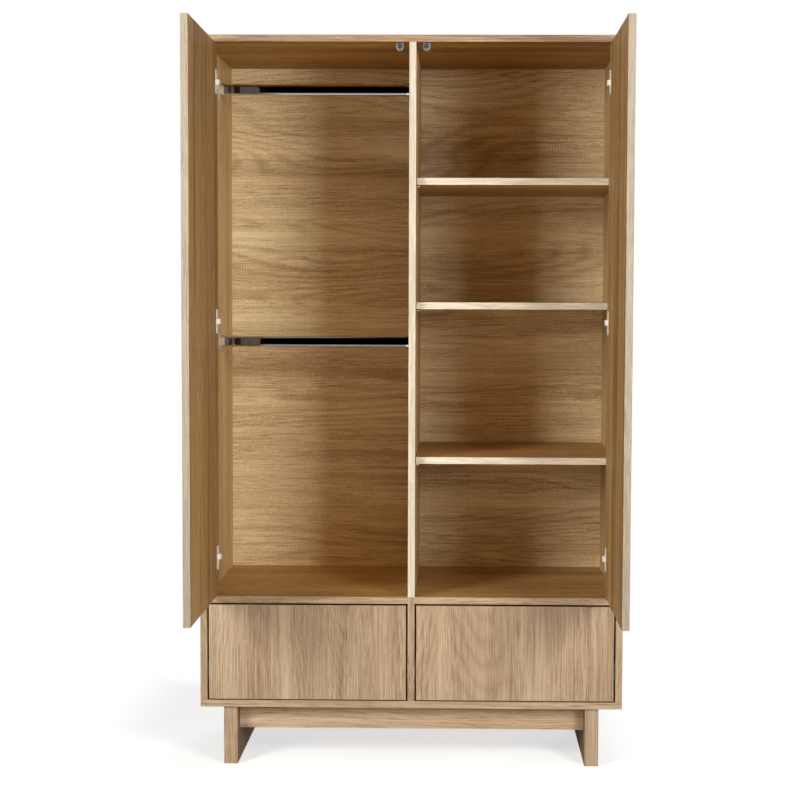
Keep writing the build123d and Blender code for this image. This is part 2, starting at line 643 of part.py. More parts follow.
for name, side in SIDES.items():
    # Door panel with cup bores
    with BuildPart() as door_panel:
        block((*on_door(side, 0, 0), DOOR_LOW), (*on_door(side, DOOR_WIDTH, DOOR_THICKNESS), DOOR_HIGH))
        soften(door_panel)
        bore = CUP_DEPTH + CUP_CLEARANCE
        bores = [(*on_door(side, CUP_MIDDLE, DOOR_THICKNESS - bore / 2), z) for z in HINGE_HEIGHTS]
        rods(bores, CUP_RADIUS + CUP_CLEARANCE, bore, ALONG_X, Mode.SUBTRACT)
        screws = [(*on_door(side, along, DOOR_THICKNESS), z) for along, z in FLANGE_SCREWS]
        screw_holes(screws, SCREW_LENGTH - FLANGE_THICKNESS)
    save(door_panel, f"{name}_door_panel")

    # Hinge cups: a round body sunk in the door, a flange on its face and a pocket for the arm
    with BuildPart() as hinge_cups:
        for height in HINGE_HEIGHTS:
            with BuildSketch(Plane.YZ.offset(inward(side, OPEN_IN + DOOR_THICKNESS))):
                with Locations((behind(OPEN_BACK - CUP_MIDDLE), height)):
                    RectangleRounded(FLANGE_WIDE, FLANGE_TALL, FLANGE_CORNER)
            extrude(amount=-side * FLANGE_THICKNESS)
            rods(
                [(*on_door(side, CUP_MIDDLE, DOOR_THICKNESS - CUP_DEPTH / 2), height)],
                CUP_RADIUS,
                CUP_DEPTH,
                ALONG_X,
            )
            block(
                (*on_door(side, POCKET_START, CUP_BOTTOM + CUP_FLOOR), height - POCKET_TALL / 2),
                (*on_door(side, POCKET_END, 2 * DOOR_THICKNESS), height + POCKET_TALL / 2),
                Mode.SUBTRACT,
            )
            rods(
                [(*on_door(side, PIVOT_SETBACK, PIVOT_INSET), height)],
                HINGE_PIN_RADIUS,
                HINGE_PIN_LENGTH,
                ALONG_Z,
                Mode.SUBTRACT,
            )
        screw_holes(screws, 2 * FLANGE_THICKNESS)
    save(hinge_cups, f"{name}_hinge_cups")

    with BuildPart() as hinge_pins:
        pivots = [(*on_door(side, PIVOT_SETBACK, PIVOT_INSET), z) for z in HINGE_HEIGHTS]
        rods(pivots, HINGE_PIN_RADIUS, HINGE_PIN_LENGTH)
    save(hinge_pins, f"{name}_hinge_pins")

    with BuildPart() as cup_screws:
        wood_screws(screws, (-side, 0, 0), FLANGE_THICKNESS)
    save(cup_screws, f"{name}_hinge_cup_screws")

# Push latches: housing, plunger and the strike plate on the door
for name, side in SIDES.items():
    latch_x = inward(side, LATCH_IN)
    with BuildPart() as housing:
        with BuildSketch(Plane.XZ.offset(-behind(LATCH_START))) as outline:
            with Locations((latch_x, LATCH_HEIGHT)):
                Rectangle(LATCH_WIDE, LATCH_TALL)
            fillet(outline.vertices().group_by(Axis.Y)[0], LATCH_CORNER)
        extrude(amount=-LATCH_LENGTH)
        block(
            (latch_x - LATCH_WIDE / 2, behind(LATCH_END), CEILING - LATCH_TAB_THICKNESS),
            (latch_x + LATCH_WIDE / 2, behind(LATCH_END + LATCH_TAB), CEILING),
        )
        bore = LATCH_LENGTH - LATCH_WALL
        rods(
            [(latch_x, behind(LATCH_START + bore / 2), LATCH_HEIGHT)],
            PLUNGER_RADIUS + PLUNGER_CLEARANCE,
            bore,
            ALONG_Y,
            Mode.SUBTRACT,
        )
        screw_holes(LATCH_SCREWS, LATCH_TAB_THICKNESS, ALONG_Z)
    save(housing, f"{name}_latch_housing")

    with BuildPart() as plunger:
        middle = behind(PLUNGER_OPEN_TIP + PLUNGER_LENGTH / 2)
        rods([(latch_x, middle, LATCH_HEIGHT)], PLUNGER_RADIUS, PLUNGER_LENGTH, ALONG_Y)
        fillet(plunger.edges().sort_by(Axis.Y)[0], PLUNGER_NOSE)
    save(plunger, f"{name}_latch_plunger")

    with BuildPart() as strike_plate:
        along = LATCH_IN - DOOR_GAP
        raised = DOOR_THICKNESS + STRIKE_THICKNESS
        block(
            (*on_door(side, along - STRIKE_WIDE / 2, DOOR_THICKNESS), LATCH_HEIGHT - STRIKE_TALL / 2),
            (*on_door(side, along + STRIKE_WIDE / 2, raised), LATCH_HEIGHT + STRIKE_TALL / 2),
        )
    save(strike_plate, f"{name}_strike_plate")


def bottom_groove(centre):
    """Groove that holds the drawer bottom, cut in whatever stands around it."""
    reach = BOX_INNER + DRAWER_GROOVE
    block(
        (centre - reach, behind(BOX_FRONT - DRAWER_GROOVE), BOTTOM_LOW),
        (centre + reach, behind(BOX_BACK - DRAWER_SIDE + DRAWER_GROOVE), BOTTOM_HIGH + GROOVE_CLEARANCE),
        Mode.SUBTRACT,
    )


def front_dowels(centre):
    """Dowels that join the drawer front to its two sides."""
    offset = BOX_HALF - DRAWER_SIDE / 2
    y = behind(BOX_FRONT + DRAWER_DOWEL_SHIFT)
    return [(centre + x, y, z) for x in (-offset, offset) for z in DRAWER_DOWEL_HEIGHTS]


def back_dowels(centre):
    """Dowels that join the drawer back to its two sides."""
    offset = BOX_INNER - DRAWER_DOWEL_SHIFT
    y = behind(BOX_BACK - DRAWER_SIDE / 2)
    return [(centre + x, y, z) for x in (-offset, offset) for z in DRAWER_DOWEL_HEIGHTS]


def runner_channels(side, web, lips, half):
    """One C channel on each wall of a drawer's bay, given by distances from the wall."""
    ends = behind(RUNNER_START), behind(RUNNER_END)
    low, high = RUNNER_HEIGHT - half, RUNNER_HEIGHT + half
    for wall, facing in bay_walls(side):
        near, far = (wall + facing * lip for lip in lips)
        block((wall + facing * web, ends[0], low), (wall + facing * (web + RUNNER_GAUGE), ends[1], high))
        block((near, ends[0], low), (far, ends[1], low + RUNNER_GAUGE))
        block((near, ends[0], high - RUNNER_GAUGE), (far, ends[1], high))


for name, side in SIDES.items():
    centre = inward(side, BAY / 2)
    with BuildPart() as drawer_front:
        reach = BAY / 2 - DRAWER_GAP
        block(
            (centre - reach, behind(0), FLOOR + DRAWER_FOOT_GAP),
            (centre + reach, behind(DRAWER_FRONT_THICKNESS), DRAWER_CEILING - DRAWER_GAP),
        )
        soften(drawer_front)
        bottom_groove(centre)
        dowel_holes(front_dowels(centre), ALONG_Y, DRAWER_DOWEL_LENGTH)
    save(drawer_front, f"{name}_drawer_front")

    for hand, sign in SIDES.items():
        with BuildPart() as drawer_side:
            block(
                (centre + sign * BOX_HALF, behind(BOX_FRONT), BOX_LOW),
                (centre + sign * BOX_INNER, behind(BOX_BACK), BOX_HIGH),
            )
            soften(drawer_side)
            bottom_groove(centre)
            dowel_holes(front_dowels(centre), ALONG_Y, DRAWER_DOWEL_LENGTH)
            dowel_holes(back_dowels(centre), ALONG_X, DRAWER_DOWEL_LENGTH)
            screw_holes(runner_screws(centre + sign * BOX_HALF), RUNNER_SCREW_IN_BOARD)
        save(drawer_side, f"{name}_drawer_{hand}_side")

    with BuildPart() as drawer_back:
        block(
            (centre - BOX_INNER, behind(BOX_BACK - DRAWER_SIDE), BOX_LOW),
            (centre + BOX_INNER, behind(BOX_BACK), BOX_HIGH),
        )
        soften(drawer_back)
        bottom_groove(centre)
        dowel_holes(back_dowels(centre), ALONG_X, DRAWER_DOWEL_LENGTH)
    save(drawer_back, f"{name}_drawer_back")

    with BuildPart() as drawer_bottom:
        into_groove = DRAWER_GROOVE - GROOVE_CLEARANCE
        block(
            (centre - BOX_INNER - into_groove, behind(BOX_FRONT - into_groove), BOTTOM_LOW),
            (centre + BOX_INNER + into_groove, behind(BOX_BACK - DRAWER_SIDE + into_groove), BOTTOM_HIGH),
        )
    save(drawer_bottom, f"{name}_drawer_bottom")

    with BuildPart() as drawer_dowels:
        rods(front_dowels(centre), DOWEL_RADIUS, DRAWER_DOWEL_LENGTH, ALONG_Y)
        rods(back_dowels(centre), DOWEL_RADIUS, DRAWER_DOWEL_LENGTH, ALONG_X)
    save(drawer_dowels, f"{name}_drawer_dowels")

    # Runners from the wall inwards: cabinet rail, middle slide, drawer carriage
    with BuildPart() as runner_rails:
        runner_channels(side, 0, (0, RUNNER_LIP), RUNNER_TALL / 2)
        for wall, _ in bay_walls(side):
            screw_holes(runner_screws(wall), RUNNER_STEP)
    save(runner_rails, f"{name}_drawer_runner_rails")

    with BuildPart() as runner_slides:
        runner_channels(side, SLIDE_WEB, (SLIDE_WEB, RUNNER_LIP), RUNNER_TALL / 2 - RUNNER_STEP)
    save(runner_slides, f"{name}_drawer_runner_slides")

    with BuildPart() as runner_carriages:
        runner_channels(
            side,
            RUNNER_THICKNESS - RUNNER_GAUGE,
            (SLIDE_WEB + RUNNER_STEP, RUNNER_THICKNESS),
            RUNNER_TALL / 2 - 2 * RUNNER_STEP,
        )
        for hand in SIDES.values():
            screw_holes(runner_screws(centre + hand * BOX_HALF), RUNNER_STEP)
    save(runner_carriages, f"{name}_drawer_runner_carriages")

    with BuildPart() as drawer_screws:
        for hand in SIDES.values():
            points = runner_screws(centre + hand * BOX_HALF)
            wood_screws(points, (hand, 0, 0), RUNNER_GAUGE, RUNNER_SCREW_LENGTH)
    save(drawer_screws, f"{name}_drawer_screws")

# Push catches behind the drawers: a body, a nose towards the drawer and two ears
with BuildPart() as push_catches:
    for side in SIDES.values():
        ends = behind(CATCH_FRONT), behind(CATCH_BACK)
        ear_reach = CATCH_TALL / 2 + CATCH_EAR
        block(
            (inward(side, 0), ends[0], BOX_MIDDLE - CATCH_TALL / 2),
            (inward(side, CATCH_WIDE), ends[1], BOX_MIDDLE + CATCH_TALL / 2),
        )
        block(
            (inward(side, 0), ends[0], BOX_MIDDLE - ear_reach),
            (inward(side, CATCH_EAR_THICKNESS), ends[1], BOX_MIDDLE + ear_reach),
        )
        nose_in = RUNNER_THICKNESS + DRAWER_SIDE / 2
        nose = (inward(side, nose_in), behind(CATCH_FRONT - CATCH_NOSE / 2), BOX_MIDDLE)
        rods([nose], CATCH_NOSE_RADIUS, CATCH_NOSE, ALONG_Y)
        screw_holes(catch_screws(side), CATCH_EAR_THICKNESS)
save(push_catches, "drawer_push_catches")

# Screws that hold the fittings to the carcass
with BuildPart() as fitting_screws:
    for wall, facing in BRACKET_WALLS:
        wood_screws(bracket_screws(wall), (facing, 0, 0), BRACKET_FLANGE)
    wood_screws(LATCH_SCREWS, DOWN, LATCH_TAB_THICKNESS)
    for side in SIDES.values():
        wood_screws(plate_screws(side), (-side, 0, 0), WING_THICKNESS)
        wood_screws(ARM_SCREWS[side], (-side, 0, 0), 0, ARM_SCREW_LENGTH)
        wood_screws(catch_screws(side), (-side, 0, 0), CATCH_EAR_THICKNESS)
        for wall, facing in bay_walls(side):
            wood_screws(runner_screws(wall), (facing, 0, 0), RUNNER_GAUGE, RUNNER_SCREW_LENGTH)
save(fitting_screws, "fitting_screws")
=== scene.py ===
"""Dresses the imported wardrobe: oak decor on its boards, plated metal on its fittings, and a plain white studio."""

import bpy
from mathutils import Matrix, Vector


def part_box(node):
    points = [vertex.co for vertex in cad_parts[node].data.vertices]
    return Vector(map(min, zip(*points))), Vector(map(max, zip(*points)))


bl_info = {
    "name": "Oak wardrobe finishes",
    "version": (1, 0, 0),
    "blender": (4, 5, 0),
    "location": "3D View > Sidebar > Wardrobe",
    "description": "Gives the wardrobe's boards and fittings their finishes and sets up the studio",
    "category": "Material",
}

from collections import namedtuple
from math import cos, pi, sin

import bmesh
import bpy
from bpy.props import FloatProperty, FloatVectorProperty, PointerProperty
from mathutils import Matrix, Vector

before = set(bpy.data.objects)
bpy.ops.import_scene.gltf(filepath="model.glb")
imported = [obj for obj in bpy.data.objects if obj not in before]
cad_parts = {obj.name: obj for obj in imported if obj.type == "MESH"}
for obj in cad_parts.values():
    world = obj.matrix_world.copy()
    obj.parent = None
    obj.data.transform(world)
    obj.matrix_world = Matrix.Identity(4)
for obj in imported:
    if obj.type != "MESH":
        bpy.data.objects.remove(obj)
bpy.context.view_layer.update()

# The two sides, and the way along X that the inner faces of each one look
INWARD = {"left": 1, "right": -1}
SIDES = tuple(INWARD)

# The frame's axis along the grain, the one across it and the one through the board
UPRIGHT_SIDE = "ZYX"
UPRIGHT_FRONT = "ZXY"
LEVEL = "XYZ"
LEVEL_FRONT = "XZY"
LEVEL_SIDE = "YZX"

# A face looks along an axis where its normal's part along that axis is more than this
FACING = 0.6
FACING_SQUARELY = 0.9

# How far a seed of 1 moves a board over the decor: along the grain, across it and through it
SEED_STEP = (1.37, 0.71, 0.39)

# The gentle bends of the grain: their waves to the metre, and how far they move it across
BEND_WAVES = (1.6, 6.0, 6.0)
BEND_REACH = 0.028

# Waves to the metre along the grain in each layer of the decor
WAVES = {
    "ribbons": 0.5,
    "bands": 0.8,
    "figure": 0.9,
    "stripes": 1.4,
    "late_wood": 1.9,
    "crowds": 2.2,
    "streaks": 3.0,
    "lines": 6.0,
    "dashes": 20.0,
    "pores": 70.0,
    "flecks": 120.0,
}

# Tone of the decor, from dark to pale: where its three colours stand, and what its layers start from
TONE_STOPS = (0.10, 0.50, 0.90)
MIDDLE_TONE = 0.5
FIRST_TONE = 0.58

# What each layer adds to the tone or takes from it
BAND_WEIGHT = 0.85
STRIPE_WEIGHT = 0.45
STREAK_WEIGHT = 0.30
PORE_WEIGHT = 0.30
RIBBON_WEIGHT = 1.6

# Where dashes, crowds of them and late wood begin and are full, in the noise that they come from
DASHES_BEGIN = (0.50, 0.70)
CROWDS_BEGIN = (0.36, 0.62)
LATE_WOOD_BEGINS = (0.42, 0.62)

# Strength of the dashes outside the crowds, and width of the late wood's patches
LONE_DASHES = 0.35
LATE_WOOD_WIDTH = 0.09

# What the bands and the dashes change in the roughness, and the pores' height where the dashes' depth is 1
BAND_ROUGHNESS = 0.14
DASH_ROUGHNESS = 0.12
PORE_HEIGHT = 0.4

# Growth rings in the figure, and the weight of the layers that differ, on plain boards and on figured ones
Figure = namedtuple("Figure", "rings late_wood lines dashes flecks saw_marks")
PLAIN = Figure(rings=40, late_wood=0.14, lines=1.05, dashes=0.34, flecks=0.0, saw_marks=0.0)
FIGURED = Figure(rings=24, late_wood=0.20, lines=0.75, dashes=0.26, flecks=0.55, saw_marks=0.32)

# Saw marks: waves of their patches along a row and from row to row, waves of their wobble, how far patches and
# wobble shift them, and where the patches and the rows begin and are full
SAW_PATCHES = (5.0, 5.3, 1.0)
SAW_WOBBLE = (60.0, 160.0, 160.0)
SAW_DRIFT = 9.0
SAW_JITTER = 4.0
SAW_PATCHES_BEGIN = (0.57, 0.68)
SAW_ROWS_BEGIN = (0.05, 0.45)

# A broad face of its own colour, which paints the light and shade on it: both faces, or the one that looks
# along the board's axis, 1, or against it, -1
Face = namedtuple("Face", "shade side contrast", defaults=(0, 1.0))

# A strip on the edges, whose colour paints sheen on some boards and shade on others: all of them, or only the
# front one above a height
Lipping = namedtuple("Lipping", "shade above", defaults=(None,))

# The darker and the paler tint of a strip and the tones where they stand, and the tint of the divider's strip
LIPPING_TINTS = (0.78, 1.16)
LIPPING_STOPS = (0.20, 0.80)
DIVIDER_STRIP = 0.93

# Plated metal: waves to the metre, darker and paler tint, and the unevenness as a share of the roughness
BRUSH_ALONG, BRUSH_ACROSS = 30.0, 2600.0
SMUDGES = (38.0, 38.0, 38.0)
PLATING_TINTS = (0.93, 1.04)
BRUSH_ROUGHNESS = 0.6
SMUDGE_ROUGHNESS = 0.5

# Plastic: waves to the metre, darker and paler tint, and what the speckles change in the roughness
SPECKLES = (2200.0, 2200.0, 2200.0)
CLOUDS = (120.0, 120.0, 120.0)
PLASTIC_TINTS = (0.92, 1.08)
SPECKLE_ROUGHNESS = 0.2

# Beech: waves to the metre, where the rays begin and are full, how dark they are, tints and roughness
BEECH_GRAIN = (260.0, 260.0, 260.0)
BEECH_RAYS = (900.0, 900.0, 140.0)
BEECH_RAYS_BEGIN = (0.60, 0.72)
BEECH_RAY_WEIGHT = 0.3
BEECH_TINTS = (0.72, 1.06)
BEECH_STOPS = (0.2, 0.7)
BEECH_ROUGHNESS = 0.62
BEECH_GRAIN_ROUGHNESS = 0.2

# Height of the texture in metal and plastic, and in beech
FINE_RELIEF = 0.00004
BEECH_RELIEF = 0.0001

# The camera's film and lens in millimetres, and its shift as a share of the film
FILM = 36.0
LENS = 83.26
SHIFT = (-0.0315, 0.0322)

# Width and height of the softboxes
SOFTBOX_SIZES = {
    "left_softbox": (1.05, 1.75),
    "right_softbox": (1.06, 1.4),
    "overhead_softbox": (2.0, 1.5),
    "low_fill": (2.4, 0.6),
    "rear_softbox": (1.6, 1.2),
}

# The floor lies just under the feet. Its shadows fade out at these distances from a point under the wardrobe
FLOOR_DROP = 0.0005
FLOOR_SEGMENTS = 96
SHADOW_MIDDLE = (-0.14, 0.10)
FADE_ASIDE = (0.56, 0.80)
FADE_AHEAD = (0.75, 1.05)

# How far aside the studio's dark front wall reaches for each metre of its distance: where it fades, and its end
DARK_WALL = (0.108, 0.116)

# The white that the camera sees, a little over full strength
WHITE = (1.0, 1.0, 1.0, 1.0)
WHITE_STRENGTH = 1.02

# First input and output of a Mix node for each kind of data
MIX_SOCKETS = {"VECTOR": (4, 1), "RGBA": (6, 2)}


def colour(name, description, default):
    """A colour that the user can change."""
    return FloatVectorProperty(
        name=name, description=description, default=default, subtype="COLOR", size=3, min=0.0, max=1.0
    )


def length(name, description, default):
    """A length in metres that the user can change."""
    return FloatProperty(
        name=name, description=description, default=default, subtype="DISTANCE", unit="LENGTH", min=0.0, precision=4
    )


def share(name, description, default):
    """A number between 0 and 1 that the user can change."""
    return FloatProperty(
        name=name, description=description, default=default, subtype="FACTOR", min=0.0, max=1.0
    )


def point(name, description, default):
    """A place in the frame that the user can change."""
    return FloatVectorProperty(
        name=name, description=description, default=default, subtype="XYZ", unit="LENGTH", size=3
    )


def turn(name, description, default):
    """An angle that the user can change."""
    return FloatProperty(
        name=name, description=description, default=default, subtype="ANGLE", unit="ROTATION"
    )


def power(name, description, default):
    """A lamp's power that the user can change."""
    return FloatProperty(
        name=name, description=description, default=default, subtype="POWER", unit="POWER", min=0.0
    )


class OakSettings(bpy.types.PropertyGroup):
    """The oak decor of the boards."""

    dark: colour("Dark grain", "Late wood and dark streaks", (0.300, 0.180, 0.100))
    middle: colour("Oak", "Main colour, on fronts, edges and outer faces", (0.450, 0.310, 0.190))
    pale: colour("Pale grain", "Early wood and pale streaks", (0.600, 0.440, 0.285))
    # Paler than the oak: painted light on the base rails, which lie in shade under the carcass; the shelves over the
    # drawers share it
    rail: colour("Rails", "Main colour of the base rails and the shelves over the drawers", (0.520, 0.357, 0.219))
    # Paler and less saturated than the oak: painted light and sheen on the backs' inner faces
    back: colour("Back panels", "Main colour of the backs' inner faces", (0.775, 0.572, 0.320))
    # Paler and more saturated than the oak: painted light and shade on the sides' and the divider's inner faces
    wall: colour("Inner walls", "Main colour of the sides' and the divider's inner faces", (0.600, 0.414, 0.188))
    # Deeper and more saturated than the oak: painted shade on the shelves' faces in the bays
    level: colour("Shelves", "Main colour of the shelves' faces", (0.515, 0.306, 0.110))
    # Darker and more saturated than the oak: painted shade under the top panel
    ceiling_shade: colour("Top inside", "Main colour of the top panel's underside", (0.385, 0.190, 0.045))
    # Darker and more saturated than the oak: painted shade on the doors' inner faces
    door: colour("Doors inside", "Main colour of the doors' inner faces", (0.345, 0.198, 0.075))
    # Darker than the oak: painted shade on the legs' inner faces
    leg_side_shade: colour("Legs inside", "Main colour of the legs' inner faces", (0.240, 0.155, 0.085))
    box: colour("Drawer box", "Main colour of the drawer box boards", (0.50, 0.37, 0.245))
    # Paler and less saturated than the oak: an edge band that is partly painted sheen
    lipping: colour("Pale lipping", "Edge strip of the shelves and the divider", (0.800, 0.680, 0.525))
    # Dark brown: painted shade in the gaps round the drawer fronts
    drawer_gap_shade: colour("Drawer edges", "Narrow edges of the drawer fronts", (0.190, 0.112, 0.045))
    # Darker than the pale lipping: painted shade on the doors' edges, which stand nearer the softboxes
    door_lipping_shade: colour("Door lipping", "Edge strip of the doors", (0.400, 0.322, 0.234))
    figure_width: length("Figure width", "Width of one cathedral of the grain", 0.20)
    band_width: length("Band width", "Width of the broad pale and dark bands", 0.10)
    ribbon_width: length("Ribbon width", "Width of the ribbons in faces with a stronger contrast", 0.055)
    stripe_width: length("Stripe width", "Width of the stripes inside a band", 0.022)
    streak_width: length("Streak width", "Width of the long streaks along the grain", 0.0075)
    line_width: length("Line width", "Width of the thin lines along the grain", 0.0026)
    dash_width: length("Dash width", "Width of the short dark dashes along the grain", 0.0023)
    pore_width: length("Pore width", "Width of the fine pores", 0.0016)
    saw_pitch: length("Saw mark pitch", "Distance between the marks that a saw leaves across the grain", 0.0075)
    saw_height: length("Saw mark height", "Height of one row of saw marks", 0.023)
    roughness: share("Roughness", "Roughness of the satin decor", 0.50)
    shine: share("Shine", "Strength of the decor's reflection", 0.22)
    relief: length("Relief", "Depth of the dashes in the embossed decor", 0.00012)


class FittingSettings(bpy.types.PropertyGroup):
    """The metal, the plastic and the beech of the fittings."""

    chrome: colour("Chrome", "Plating of the hanging rails and their brackets", (0.80, 0.80, 0.81))
    # Dark grey on the rails' flat fronts: a painted dark reflection
    rail_front_dark_reflection: colour("Rail fronts", "Smoked plating on the flat fronts of the rails", (0.22, 0.22, 0.23))
    nickel: colour("Nickel", "Plating of the strike plates and shelf pins", (0.74, 0.725, 0.70))
    hinge: colour("Hinges", "Satin nickel of the hinges", (0.95, 0.90, 0.82))
    zinc: colour("Zinc", "Plating of the drawer runners", (0.60, 0.62, 0.64))
    screw: colour("Screws", "Plating of the screws and the hinge pins", (0.58, 0.575, 0.56))
    housing: colour("Latch housing", "Grey of the push latches and catches", (0.34, 0.335, 0.33))
    plunger: colour("Latch plunger", "Dark grey of the plungers", (0.035, 0.034, 0.033))
    beech: colour("Beech", "Bare beech of the dowels", (0.58, 0.42, 0.26))


class StageSettings(bpy.types.PropertyGroup):
    """The camera, the lamps, the floor and the studio."""

    camera_place: point("Camera place", "Where the camera stands", (0.1196, -4.8074, 1.2154))
    camera_yaw: turn("Camera yaw", "Turn of the camera about the vertical", 0.0178)
    camera_pitch: turn("Camera pitch", "Tilt of the camera above the horizon", -0.0678)
    camera_roll: turn("Camera roll", "Turn of the camera about its own axis", 0.0037)
    left_lamp: point("Left softbox", "Middle of the softbox on the left", (-2.228, -2.904, 1.96))
    left_power: power("Left power", "Power of the softbox on the left", 102.0)
    right_lamp: point("Right softbox", "Middle of the softbox on the right", (1.905, -3.125, 1.62))
    right_power: power("Right power", "Power of the softbox on the right", 89.0)
    over_lamp: point("Overhead softbox", "Middle of the softbox overhead", (0.0, -1.2, 3.6))
    over_power: power("Overhead power", "Power of the softbox overhead", 8.5)
    fill_lamp: point("Low fill", "Middle of the low softbox in front", (0.1, -4.3, 0.55))
    fill_power: power("Low fill power", "Power of the low softbox in front", 7.0)
    side_tint: colour("Side colour", "Cool colour of the left and the right softbox", (0.95, 0.985, 1.0))
    fill_tint: colour("Fill colour", "Warm colour of the overhead and the low softbox", (1.0, 0.70, 0.38))
    rear_lamp: point("Rear softbox", "Middle of the softbox behind the wardrobe", (0.5, 3.6, 1.0))
    rear_power: power("Rear power", "Power of the softbox behind the wardrobe", 60.0)
    lamp_aim: point("Lamp aim", "The point that the overhead, low and rear softboxes face", (0.0, 0.1, 1.1))
    floor_radius: length("Floor radius", "Radius of the round floor", 9.0)
    floor: colour("Floor", "Colour of the floor", (0.78, 0.78, 0.78))
    floor_glow: share("Floor glow", "Light that the white floor adds for the camera", 0.58)
    mirrored: share("Studio in mirrors", "Brightness of the studio's walls in shiny metal", 0.35)


class WardrobeSettings(bpy.types.PropertyGroup):
    """Everything that the user can change."""

    oak: PointerProperty(type=OakSettings, name="Oak", description="The oak decor")
    fittings: PointerProperty(type=FittingSettings, name="Fittings", description="Metal, plastic and beech")
    stage: PointerProperty(type=StageSettings, name="Stage", description="Camera, lamps, floor and studio")


class Wire:
    """One output of a node. Arithmetic on wires and numbers adds Math nodes."""

    def __init__(self, graph, socket):
        self.graph = graph
        self.socket = socket

    def out(self, name):
        """Another output of the same node."""
        return Wire(self.graph, self.socket.node.outputs[name])

    def math(self, operation, *values):
        return self.graph.node("ShaderNodeMath", {"operation": operation}, dict(enumerate(values)))

    def __add__(self, other):
        return self.math("ADD", self, other)

    def __sub__(self, other):
        return self.math("SUBTRACT", self, other)

    def __rsub__(self, other):
        return self.math("SUBTRACT", other, self)

    def __mul__(self, other):
        return self.math("MULTIPLY", self, other)

    def __truediv__(self, other):
        return self.math("DIVIDE", self, other)

    def __rtruediv__(self, other):
        return self.math("DIVIDE", other, self)

    def __gt__(self, other):
        return self.math("GREATER_THAN", self, other)

    def __lt__(self, other):
        return self.math("LESS_THAN", self, other)

    def __abs__(self):
        return self.math("ABSOLUTE", self)

    __radd__ = __add__
    __rmul__ = __mul__

    def floor(self):
        return self.math("FLOOR", self)

    def most(self, other):
        return self.math("MAXIMUM", self, other)

    def swing(self, weight):
        """The part of a layer from 0 to 1 in a sum: as much above nothing as below it."""
        return (self - 0.5) * weight

    def wave(self):
        """A sine wave between 0 and 1."""
        return self.math("SINE", self) * 0.5 + 0.5


class Graph:
    """The nodes of one material or of the world."""

    def __init__(self, owner):
        owner.use_nodes = True
        self.tree = owner.node_tree
        self.tree.nodes.clear()

    def node(self, kind, settings=None, sockets=None):
        """Adds a node: first its settings, then the values or links of its sockets."""
        made = self.tree.nodes.new(kind)
        for name, value in (settings or {}).items():
            if name == "stops":
                set_stops(made.color_ramp, value)
            else:
                setattr(made, name, value)
        for name, value in (sockets or {}).items():
            if isinstance(value, Wire):
                self.tree.links.new(value.socket, made.inputs[name])
            else:
                made.inputs[name].default_value = value
        return Wire(self, made.outputs[0]) if made.outputs else None

    def mix(self, factor, a, b, kind="RGBA"):
        """a where the factor is 0, and b where it is 1."""
        first, output = MIX_SOCKETS[kind]
        made = self.node("ShaderNodeMix", {"data_type": kind}, {0: factor, first: a, first + 1: b})
        return Wire(self, made.socket.node.outputs[output])

    def blend(self, factor, a, b):
        """Shader a where the factor is 0, and shader b where it is 1."""
        return self.node("ShaderNodeMixShader", None, {0: factor, 1: a, 2: b})

    def vector(self, x, y, z):
        return self.node("ShaderNodeCombineXYZ", None, {0: x, 1: y, 2: z})

    def split(self, vector):
        """A vector's parts, the outputs X, Y and Z."""
        return self.node("ShaderNodeSeparateXYZ", None, {"Vector": vector})

    def sum(self, a, b):
        return self.node("ShaderNodeVectorMath", {"operation": "ADD"}, {0: a, 1: b})

    def step(self, value, low, high):
        """0 below low, 1 above high, and smooth between them."""
        return self.node(
            "ShaderNodeMapRange",
            {"interpolation_type": "SMOOTHSTEP"},
            {"Value": value, "From Min": low, "From Max": high},
        )

    def noise(self, place, per_metre, detail=0.0):
        """Smooth noise from 0 to 1, with so many waves to the metre in each direction."""
        spread = self.node("ShaderNodeVectorMath", {"operation": "MULTIPLY"}, {0: place, 1: per_metre})
        return self.node("ShaderNodeTexNoise", None, {"Vector": spread, "Scale": 1.0, "Detail": detail})

    def grain(self, place, layer, width, detail=0.0):
        """Noise drawn out along the grain, with the waves of a layer along it and of this width across."""
        return self.noise(place, (WAVES[layer], 1 / width, 1 / width), detail)

    def ramp(self, value, *stops):
        return self.node("ShaderNodeValToRGB", {"stops": stops}, {"Fac": value})

    def mottle(self, value, shade, tints, stops=(0.3, 0.7)):
        """A colour that goes from its darker tint, where the value is low, to its paler one, where it is high."""
        return self.ramp(value, *((stop, tinted(shade, tint)) for stop, tint in zip(stops, tints)))

    def bump(self, height, depth):
        return self.node("ShaderNodeBump", None, {"Strength": 1.0, "Distance": depth, "Height": height})

    def surface(self, sockets):
        shader = self.node("ShaderNodeBsdfPrincipled", None, sockets)
        self.node("ShaderNodeOutputMaterial", None, {"Surface": shader})


def set_stops(ramp, stops):
    """Gives a colour ramp these stops, each a position and a colour."""
    while len(ramp.elements) < len(stops):
        ramp.elements.new(1.0)
    for element, (position, shade) in zip(ramp.elements, stops):
        element.position = position
        element.color = rgba(shade)


def rgba(shade):
    return (*shade, 1.0)


def tinted(shade, factor):
    """A colour made lighter or darker by a factor."""
    return tuple(min(part * factor, 1.0) for part in shade)


def matched(shade, base, look):
    """A colour of the grain, changed as the main colour is changed to reach this base."""
    return tuple(min(part * new / old, 1.0) for part, new, old in zip(shade, base, look.middle))


def settings():
    return bpy.context.scene.wardrobe


def new_material(name):
    material = bpy.data.materials.new(name)
    return material, Graph(material)


def dress(material, *nodes):
    """Puts a material on nodes that are carried over as they are."""
    for node in nodes:
        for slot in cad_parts[node].material_slots:
            slot.material = material


def board_axes(graph, vector, grain):
    """A vector's parts along the grain, across it and through the board."""
    parts = graph.split(vector)
    return [parts.out(axis) for axis in grain]


